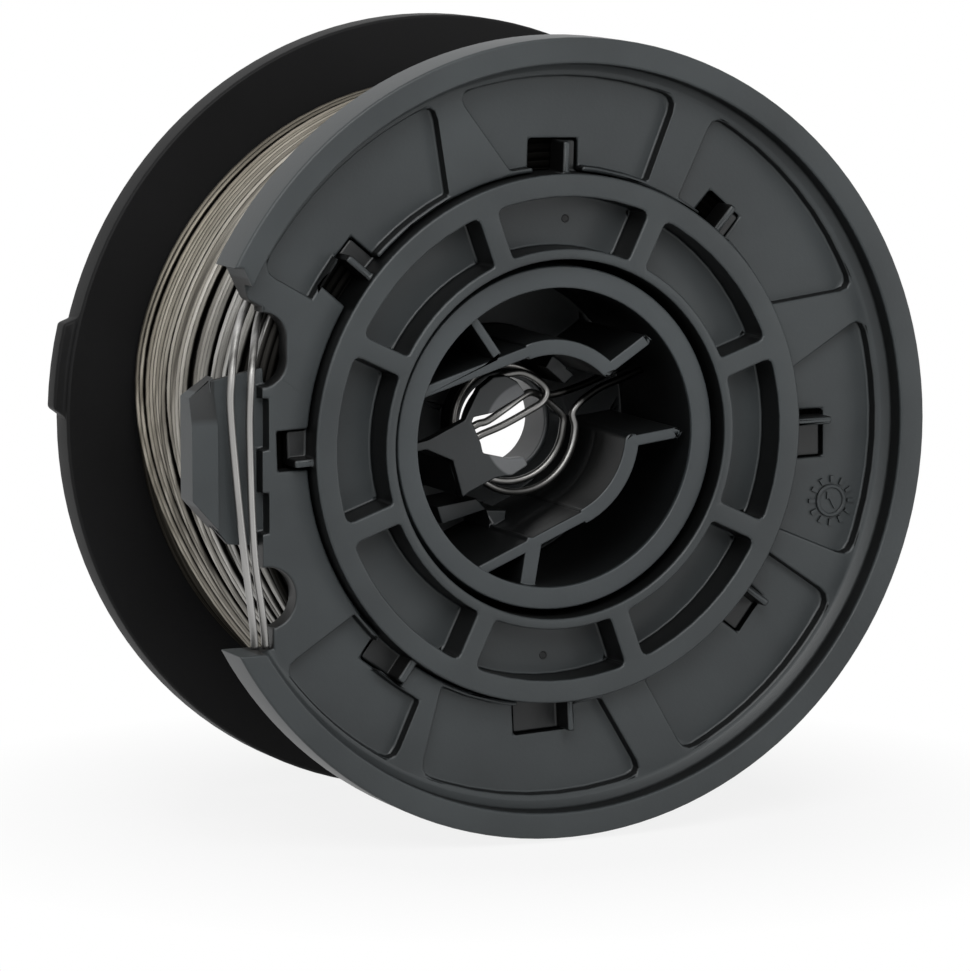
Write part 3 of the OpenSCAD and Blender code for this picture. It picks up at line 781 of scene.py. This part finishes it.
# %% [markdown]
# The front mouldings are charcoal plastic with a satin skin. One flat colour would look like paint. Close
# up the real skin has a fine spark-eroded grain, and over a hand's width it is uneven, because flow and
# handling leave it glossier here and duller there. So one noise drives both colour and gloss in soft
# clouds, and a much finer one gives the grain as a bump.

# %% Moulded plastic
CLOUD_SCALE, CLOUD_FROM, CLOUD_TO = 45, 0.35, 0.7
GRAIN_SCALE, GRAIN_HEIGHT = 2000, 0.00004
PLASTIC_IOR = 1.48


def moulded_plastic(name, dark, light, rough, grain, shine, *painted_shading):
    """A satin moulded plastic: two close colours in soft clouds, uneven gloss and a fine grain.

    rough gives the least and the most roughness. Each entry of painted_shading is a function of the cell
    before, followed by its numbers, that paints light and shade into the colour, and they are laid on in
    order.
    """
    material = bpy.data.materials.new(name)
    material.use_nodes = True
    tree = material.node_tree
    shader = tree.nodes["Principled BSDF"]
    where = tree.nodes.new("ShaderNodeTexCoord")
    clouds = node_of(tree, "ShaderNodeTexNoise", Scale=CLOUD_SCALE, Detail=4)
    skin = node_of(tree, "ShaderNodeTexNoise", Scale=GRAIN_SCALE, Detail=2)
    for texture in (clouds, skin):
        tree.links.new(where.outputs["Object"], texture.inputs["Vector"])
    tint = tree.nodes.new("ShaderNodeValToRGB")
    for element, position, colour in zip(tint.color_ramp.elements, (CLOUD_FROM, CLOUD_TO), (dark, light)):
        element.position, element.color = position, (*colour, 1)
    tree.links.new(clouds.outputs["Fac"], tint.inputs["Fac"])
    colour = tint.outputs["Color"]
    for painted_layer, *numbers in painted_shading:
        colour = painted_layer(tree, where, colour, *numbers)
    bump = node_of(tree, "ShaderNodeBump", Strength=grain, Distance=GRAIN_HEIGHT)
    tree.links.new(skin.outputs["Fac"], bump.inputs["Height"])
    tree.links.new(colour, shader.inputs["Base Color"])
    tree.links.new(mapped(tree, clouds.outputs["Fac"], 0, 1, *rough), shader.inputs["Roughness"])
    tree.links.new(bump.outputs["Normal"], shader.inputs["Normal"])
    shader.inputs["IOR"].default_value = PLASTIC_IOR
    shader.inputs["Specular IOR Level"].default_value = shine
    return material


def dress(piece, material):
    """Puts one material on a piece."""
    piece.data.materials.clear()
    piece.data.materials.append(material)


print("grain of", 1000 / GRAIN_SCALE, "mm")

# %% [markdown]
# Front flange, drum and hub core are moulded from one charcoal, and each gets its own painted shade. The
# rear flange is a plain black that hardly shines. The ejector marks are the same plastic, painted darker
# than the pockets round them as shade. A shared material would be shorter, but then the painted shade of
# one would show on the others.

# %% Dress the mouldings
CHARCOAL_DARK, CHARCOAL_LIGHT = (0.026, 0.0305, 0.0325), (0.042, 0.0485, 0.051)
HUB_DARK, HUB_LIGHT = (0.036, 0.042, 0.045), (0.052, 0.06, 0.064)
PIT_DARK, PIT_LIGHT = (0.003, 0.0035, 0.004), (0.006, 0.007, 0.0075)
BLACK_DARK, BLACK_LIGHT = (0.0022, 0.0022, 0.0024), (0.0042, 0.0042, 0.0046)
CHARCOAL_SHINE, BLACK_SHINE = 0.4, 0.17

# Painted shade: the front flange's deep side walls and the sloping face at the tongue's tip are darkened.
charcoal = moulded_plastic(
    "charcoal_front", CHARCOAL_DARK, CHARCOAL_LIGHT, (0.37, 0.53), 0.35, CHARCOAL_SHINE,
    (painted_wall_shade, 0.06, 0.6, 50), (shaded_ramp, 0.22, 5.15, -46.95),
)
# Painted shade: the blocks behind the windows and the drum's deep side walls are darkened.
charcoal_drum = moulded_plastic(
    "charcoal_drum", CHARCOAL_DARK, CHARCOAL_LIGHT, (0.36, 0.5), 0.3, CHARCOAL_SHINE,
    (painted_block_shade, 0.2, 2.95, 35), (painted_wall_shade, 0.05, 1.95, 60),
)
# Painted shade and light: the hub darkens with depth and on its side walls, and its bore wall gets a paler
# painted highlight.
charcoal_hub = moulded_plastic(
    "charcoal_hub", HUB_DARK, HUB_LIGHT, (0.36, 0.5), 0.3, CHARCOAL_SHINE,
    (deep_shade, 5.2, 11, 0.4), (painted_wall_shade, 0.1, 4.2, 20.5), (painted_bore_light, 6.2, (0.13, 0.135, 0.14)),
)
# Painted shade: the ejector marks' plastic is made near black.
pit_painted_shade = moulded_plastic("pit_painted_shade", PIT_DARK, PIT_LIGHT, (0.5, 0.6), 0.3, CHARCOAL_SHINE)
black = moulded_plastic("black_rear", BLACK_DARK, BLACK_LIGHT, (0.5, 0.62), 0.3, BLACK_SHINE)
for piece, material in (
    (nodes["front_flange"], charcoal), (nodes["drum"], charcoal_drum), (nodes["hub_core"], charcoal_hub),
    (nodes["rear_flange"], black), (dial, charcoal), (marks, pit_painted_shade),
):
    dress(piece, material)
    print(piece.name, "is", material.name)

# %% [markdown]
# Drawn steel wire is bright and streaked along its length by the die, with a warm or grey tinge that
# changes from turn to turn. A texture laid along each tube would need its own coordinates, so the noise is
# stretched instead: it changes fast along the reel's axis, from one turn to the next, and slowly round it.
# The grooves between turns get painted shade, and so does what lies low in the pack or the hub.

# %% Drawn steel
STREAK_SCALE = (32, 900, 32)
# Depths between which the wire turns warmer towards the rear, and the tint it gets there
WARM_FROM, WARM_TO, REAR_TINT = 16, 38, (0.97, 0.91, 0.8)
# How squarely a wire's side faces outward where it keeps its colour, and where the painted groove shade is
# full
CREST_FACING, GROOVE_FACING = 0.95, 0.25
SMOOTHER, ROUGHER = 0.08, 0.1
SHADE_PLACES = (0.3, 0.5, 0.72)


def groove_shade(tree, where, colour, keep):
    """Painted shade: darkens the sides of the turns, which don't face away from the axis."""
    across = vector_node(tree, "MULTIPLY", where.outputs["Object"], (1, 0, 1))
    outward = vector_node(tree, "NORMALIZE", across.outputs[0])
    facing = vector_node(tree, "DOT_PRODUCT", outward.outputs[0], where.outputs["Normal"])
    return darkened(tree, colour, facing.outputs["Value"], CREST_FACING, GROOVE_FACING, keep)


def drawn_steel(name, shades, rough, groove=None, low=None):
    """Bright drawn wire whose tint changes across the turns and slowly along them.

    groove is the share of its colour that is left low on the sides of a turn, as painted shade. low is
    painted shade that darkens it by its distance from the axis, as (start, end, keep) with radii.
    """
    material = bpy.data.materials.new(name)
    material.use_nodes = True
    tree = material.node_tree
    shader = tree.nodes["Principled BSDF"]
    where = tree.nodes.new("ShaderNodeTexCoord")
    lay = node_of(tree, "ShaderNodeMapping", Scale=STREAK_SCALE)
    tint = node_of(tree, "ShaderNodeTexNoise", Scale=0.9, Detail=3)
    streaks = node_of(tree, "ShaderNodeTexNoise", Scale=6, Detail=2)
    tree.links.new(where.outputs["Object"], lay.inputs["Vector"])
    for texture in (tint, streaks):
        tree.links.new(lay.outputs[0], texture.inputs["Vector"])
    ramp = tree.nodes.new("ShaderNodeValToRGB")
    ramp.color_ramp.elements.new(SHADE_PLACES[1])
    for element, position, shade in zip(ramp.color_ramp.elements, SHADE_PLACES, shades):
        element.position, element.color = position, (*shade, 1)
    tree.links.new(tint.outputs["Fac"], ramp.inputs["Fac"])
    warm = tree.nodes.new("ShaderNodeMix")
    warm.data_type, warm.blend_type = "RGBA", "MULTIPLY"
    warm.inputs["B"].default_value = (*REAR_TINT, 1)
    depth = along_axis(tree, where.outputs["Object"], "Y")
    tree.links.new(mapped(tree, depth, level(WARM_FROM), level(WARM_TO)), warm.inputs["Factor"])
    tree.links.new(ramp.outputs["Color"], warm.inputs["A"])
    colour = warm.outputs["Result"]
    if groove:
        colour = groove_shade(tree, where, colour, groove)
    if low:
        start, end, keep = low
        colour = darkened(tree, colour, axis_distance(tree, where), start * MM, end * MM, keep)
    gloss = mapped(tree, streaks.outputs["Fac"], 0, 1, rough - SMOOTHER, rough + ROUGHER)
    tree.links.new(colour, shader.inputs["Base Color"])
    tree.links.new(gloss, shader.inputs["Roughness"])
    shader.inputs["Metallic"].default_value = 1
    return material


print("streaks are", round(STREAK_SCALE[1] / STREAK_SCALE[0]), "times as long as wide")

# %% [markdown]
# The wires are one steel, but each stretch shows it in its own light. The outer layer is the brightest,
# with dark grooves, the ends across the tongue are a little duller, and those in the hub fade into its
# shade. The inner layers are nearly black, apart from their front turns, which the notch lays open. Lamps
# alone can't make that difference in so narrow a place, so each stretch gets its own shades.

# %% Dress the wires
WOUND_SHADES = ((0.08, 0.077, 0.071), (0.25, 0.2435, 0.228), (0.47, 0.465, 0.451))
DEEP_SHADES = ((0.007, 0.0065, 0.006), (0.02, 0.019, 0.017), (0.05, 0.048, 0.045))
FREE_SHADES = ((0.09, 0.088, 0.084), (0.24, 0.2365, 0.229), (0.36, 0.3565, 0.349))
HUB_SHADES = ((0.04, 0.04, 0.0385), (0.17, 0.1685, 0.163), (0.34, 0.3385, 0.333))
# The front turns that show through the notch: outside this radius, and this near to the flange
NOTCH_HOLE_FROM, NOTCH_FACE_BAND = 42.3, 0.75

wound_steel = drawn_steel("wound_steel", WOUND_SHADES, 0.4, groove=0.07)
deep_steel = drawn_steel("deep_steel", DEEP_SHADES, 0.6, low=(42.5, 39.5, 0.12))
free_steel = drawn_steel("free_steel", FREE_SHADES, 0.42)
hub_steel = drawn_steel("hub_steel", HUB_SHADES, 0.34, low=(9.2, 10.4, 0.06))
for piece, material in (
    (layer_a, wound_steel), (layer_b, wound_steel), (inner_layers, deep_steel), (outer_a, free_steel),
    (outer_b, free_steel), (inner_a, hub_steel), (inner_b, hub_steel),
):
    dress(piece, material)
    print(piece.name, "is", material.name)
inner_layers.data.materials.append(free_steel)
front_faces = 0
for face in inner_layers.data.polygons:
    middle = face.center / MM
    near_flange = middle.y < FLANGE_THICKNESS + NOTCH_FACE_BAND - REEL_WIDTH / 2
    if near_flange and math.hypot(middle.x, middle.z) > NOTCH_HOLE_FROM:
        face.material_index = 1
        front_faces += 1
print("faces of the front turns, seen through the notch:", front_faces)

# %% [markdown]
# The reel is dark, so its form is read from soft highlights. One big lamp would light it evenly and leave
# it flat. Here a soft box in front, above and to the left, lights the faces that look forward, a weak one
# on the right, level with the axis, rakes across them and sets off the edges, one on the left brightens
# the wound wire, and one above and behind gives the rims their bright upper edge.

# %% Lamps
REEL_CENTRE = Vector((0, 0, 0))
# Each lamp's place, its size in metres and its power in watts
SOFTBOXES = {
    "right_softbox": ((0.40, -0.42, 0.0), 0.14, 0.36),
    "front_softbox": ((-0.12, -0.31, 0.24), 0.26, 1.16),
    "left_softbox": ((-0.50, -0.30, 0.30), 0.2, 0.42),
    "top_softbox": ((-0.30, 0.12, 0.55), 0.4, 0.4),
}


def softbox(name, position, size, watts):
    """A square area lamp at position that faces the reel."""
    data = bpy.data.lights.new(name, "AREA")
    data.shape = "SQUARE"
    data.size = size
    data.energy = watts
    lamp = bpy.data.objects.new(name, data)
    bpy.context.collection.objects.link(lamp)
    lamp.location = position
    lamp.rotation_mode = "QUATERNION"
    lamp.rotation_quaternion = (REEL_CENTRE - lamp.location).to_track_quat("-Z", "Y")
    return lamp


for name, measures in SOFTBOXES.items():
    print("lamp:", softbox(name, *measures).name)

# %% [markdown]
# The room round the reel is white, but a white world would also flood it with light. So the world has two
# strengths. Rays that look at it, straight from the camera or by way of a glossy or clear surface, find
# plain white, and steel and plastic mirror that. Rays that carry light find only a faint fill.

# %% World
FILL_STRENGTH = 0.06
WHITE = (1, 1, 1, 1)


def looking_rays(tree):
    """1 for rays that look at the backdrop: from the camera, mirrored or let through."""
    ray = tree.nodes.new("ShaderNodeLightPath")
    direct = worked_out(tree, "MAXIMUM", ray.outputs["Is Camera Ray"], ray.outputs["Is Glossy Ray"])
    return worked_out(tree, "MAXIMUM", direct, ray.outputs["Is Transmission Ray"])


def mixed_shader(tree, share, dim, bright):
    """Two shaders mixed by a share: 0 is the dim one, 1 the bright one."""
    blend = tree.nodes.new("ShaderNodeMixShader")
    give(tree, blend, (share, dim.outputs[0], bright.outputs[0]))
    return blend.outputs[0]


world = bpy.data.worlds.new("studio")
bpy.context.scene.world = world
world.use_nodes = True
world_tree = world.node_tree
world_tree.nodes.clear()
world_output = world_tree.nodes.new("ShaderNodeOutputWorld")
faint = node_of(world_tree, "ShaderNodeBackground", Color=WHITE, Strength=FILL_STRENGTH)
plain = node_of(world_tree, "ShaderNodeBackground", Color=WHITE, Strength=1.0)
room = mixed_shader(world_tree, looking_rays(world_tree), faint, plain)
world_tree.links.new(room, world_output.inputs[0])
bpy.context.scene.view_settings.view_transform = "Standard"
print("world:", world.name, "with a fill of", FILL_STRENGTH)

# %% [markdown]
# The reel stands on white paper. Lit paper is never even, and a light strong enough to make it white
# would burn out the reel. So for rays that look at it the paper glows plain white, mixed with a little of
# its lit surface near the reel, which is what keeps a soft shadow under the rims.

# %% Floor
FLOOR_SIZE = 4
FLOOR_Z = -REAR_RADIUS * MM
PAPER = (0.8, 0.8, 0.8, 1)
# Distances from under the reel between which the glow grows from its least to full
GLOW_FROM, GLOW_TO, LEAST_GLOW = 0.04, 0.085, 0.86

half = FLOOR_SIZE / 2
floor_mesh = bpy.data.meshes.new("studio_floor")
corners = [(x, y, FLOOR_Z) for x, y in ((-half, -half), (half, -half), (half, half), (-half, half))]
floor_mesh.from_pydata(corners, [], [(0, 1, 2, 3)])
floor = bpy.data.objects.new("studio_floor", floor_mesh)
bpy.context.collection.objects.link(floor)

paper = bpy.data.materials.new("studio_paper")
paper.use_nodes = True
paper_tree = paper.node_tree
paper_tree.nodes.clear()
paper_output = paper_tree.nodes.new("ShaderNodeOutputMaterial")
lit = node_of(paper_tree, "ShaderNodeBsdfDiffuse", Color=PAPER)
glow = node_of(paper_tree, "ShaderNodeEmission", Color=WHITE, Strength=1.0)
spot = paper_tree.nodes.new("ShaderNodeTexCoord")
away = vector_node(paper_tree, "DISTANCE", spot.outputs["Object"], (0, 0, FLOOR_Z))
full = mapped(paper_tree, away.outputs["Value"], GLOW_FROM, GLOW_TO, LEAST_GLOW, 1.0)
share = worked_out(paper_tree, "MULTIPLY", looking_rays(paper_tree), full)
paper_tree.links.new(mixed_shader(paper_tree, share, lit, glow), paper_output.inputs[0])
dress(floor, paper)
print("floor at", FLOOR_Z, "m")
